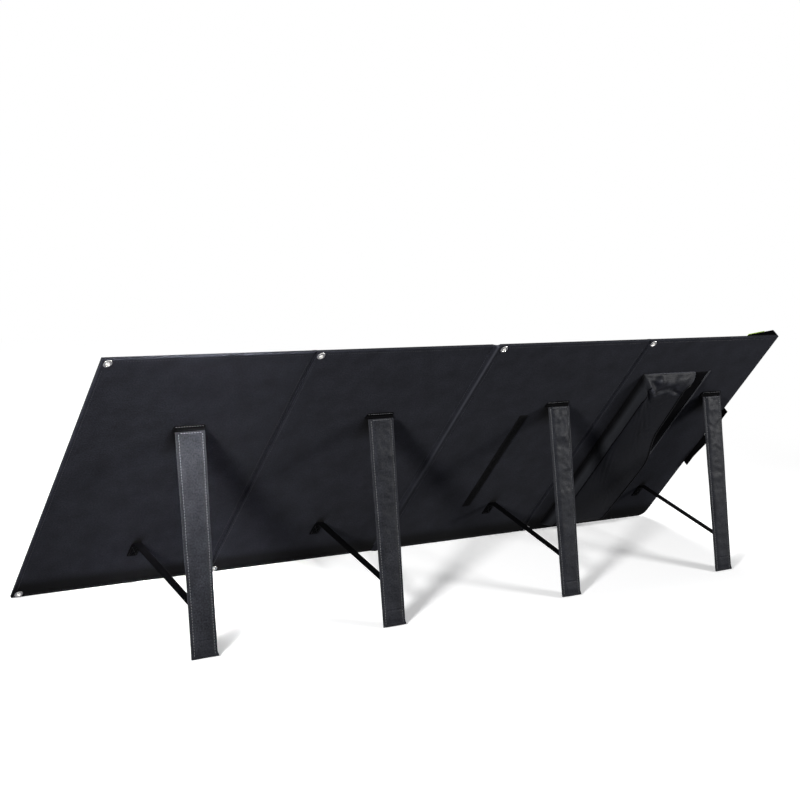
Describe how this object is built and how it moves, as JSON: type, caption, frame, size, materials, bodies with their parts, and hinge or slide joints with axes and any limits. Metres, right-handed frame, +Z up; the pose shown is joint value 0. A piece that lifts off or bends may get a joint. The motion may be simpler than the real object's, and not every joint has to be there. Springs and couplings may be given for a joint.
{
  "type": "folding solar panel",
  "caption": "Fold-out fabric solar panel that stands on hinged strap-held legs, with grommets, a side pouch and a carry handle; it folds like an accordion into a flat pack.",
  "frame": {"origin": "on the ground, under the middle of the opened panel's box", "axes": "+X along the row from panel 1 to panel 4, +Z up, backs and legs towards -Y, cells facing +Y and up"},
  "size_m": [1.361, 0.2958, 0.4535],
  "materials": {
    "cover_fabric": "woven polyester, slight sheen",
    "border_fabric": "woven polyester",
    "leg_fabric": "woven polyester, soft",
    "pouch_fabric": "woven polyester, soft",
    "webbing": "ribbed webbing",
    "hook_tape": "hook pile",
    "binding_tape": "grosgrain tape",
    "lime_fabric": "woven tape",
    "stiffener_board": "matt board",
    "backsheet": "matt film",
    "solar_cell": "dark blue silicon",
    "clear_film": "dimpled clear film",
    "nickel_plate": "nickel plate",
    "tinned_copper": "tinned ribbon",
    "box_plastic": "moulded, fine grain"
  },
  "bodies": {
    "panel_1": {"back_cover_1": "cover_fabric", "core_board_1": "stiffener_board", "pv_backsheet_1": "backsheet", "solar_cells_1": "solar_cell", "pv_front_film_1": "clear_film", "front_border_1": "border_fabric", "grommets_1": "nickel_plate", "leg_hinge_tab_1": "leg_fabric", "leg_strap_1": "webbing"},
    "leg_1": {"leg_board_1": "stiffener_board", "leg_sleeve_1": "leg_fabric"},
    "panel_2": {"back_cover_2": "cover_fabric", "core_board_2": "stiffener_board", "pv_backsheet_2": "backsheet", "solar_cells_2": "solar_cell", "pv_front_film_2": "clear_film", "front_border_2": "border_fabric", "grommets_2": "nickel_plate", "leg_hinge_tab_2": "leg_fabric", "leg_strap_2": "webbing", "fold_hinge_12": "cover_fabric", "link_ribbon_12": "tinned_copper", "fold_hinge_23": "cover_fabric", "link_ribbon_23": "tinned_copper"},
    "leg_2": {"leg_board_2": "stiffener_board", "leg_sleeve_2": "leg_fabric"},
    "panel_3": {"back_cover_3": "cover_fabric", "core_board_3": "stiffener_board", "pv_backsheet_3": "backsheet", "solar_cells_3": "solar_cell", "pv_front_film_3": "clear_film", "front_border_3": "border_fabric", "grommets_3": "nickel_plate", "leg_hinge_tab_3": "leg_fabric", "leg_strap_3": "webbing", "fold_hinge_34": "cover_fabric", "link_ribbon_34": "tinned_copper", "hook_strip": "hook_tape"},
    "leg_3": {"leg_board_3": "stiffener_board", "leg_sleeve_3": "leg_fabric"},
    "panel_4": {"back_cover_4": "cover_fabric", "core_board_4": "stiffener_board", "pv_backsheet_4": "backsheet", "solar_cells_4": "solar_cell", "pv_front_film_4": "clear_film", "front_border_4": "border_fabric", "grommets_4": "nickel_plate", "leg_hinge_tab_4": "leg_fabric", "leg_strap_4": "webbing", "pouch_face": "pouch_fabric", "pouch_gusset": "pouch_fabric", "pouch_binding": "binding_tape", "junction_box": "box_plastic", "junction_lid": "box_plastic", "carry_handle": "webbing", "corner_tab": "webbing", "corner_tab_trim": "lime_fabric"},
    "leg_4": {"leg_board_4": "stiffener_board", "leg_sleeve_4": "leg_fabric"}
  },
  "joints": [
    {"name": "spine_fold", "type": "hinge", "parent": "panel_2", "child": "panel_3", "pos_m": [-0.0065, 0.00997, 0.21647], "axis": [0, 0.5, -0.866], "range_deg": [0, 180], "deforming": ["fold_hinge_23", "link_ribbon_23"]},
    {"name": "face_fold_12", "type": "hinge", "parent": "panel_2", "child": "panel_1", "pos_m": [-0.347, 0.02209, 0.22347], "axis": [0, 0.5, -0.866], "range_deg": [0, 180], "deforming": ["fold_hinge_12", "link_ribbon_12"]},
    {"name": "face_fold_34", "type": "hinge", "parent": "panel_3", "child": "panel_4", "pos_m": [0.334, 0.02209, 0.22347], "axis": [0, -0.5, 0.866], "range_deg": [0, 180], "deforming": ["fold_hinge_34", "link_ribbon_34"]},
    {"name": "leg_1_hinge", "type": "hinge", "parent": "panel_1", "child": "leg_1", "pos_m": [-0.5035, -0.03913, 0.31052], "axis": [1, 0, 0], "range_deg": [0, 48.5], "deforming": ["leg_strap_1"]},
    {"name": "leg_2_hinge", "type": "hinge", "parent": "panel_2", "child": "leg_2", "pos_m": [-0.1675, -0.03913, 0.31052], "axis": [1, 0, 0], "range_deg": [0, 48.5], "deforming": ["leg_strap_2"]},
    {"name": "leg_3_hinge", "type": "hinge", "parent": "panel_3", "child": "leg_3", "pos_m": [0.2075, -0.03913, 0.31052], "axis": [1, 0, 0], "range_deg": [0, 48.5], "deforming": ["leg_strap_3"]},
    {"name": "leg_4_hinge", "type": "hinge", "parent": "panel_4", "child": "leg_4", "pos_m": [0.5915, -0.03913, 0.31052], "axis": [1, 0, 0], "range_deg": [0, 48.5], "deforming": ["leg_strap_4"]}
  ],
  "couplings": [
    {"joint": "face_fold_12", "follows": "spine_fold", "ratio": 1},
    {"joint": "face_fold_34", "follows": "spine_fold", "ratio": 1},
    {"joint": "leg_2_hinge", "follows": "spine_fold", "ratio": 0.2694},
    {"joint": "leg_3_hinge", "follows": "spine_fold", "ratio": 0.2694}
  ]
}
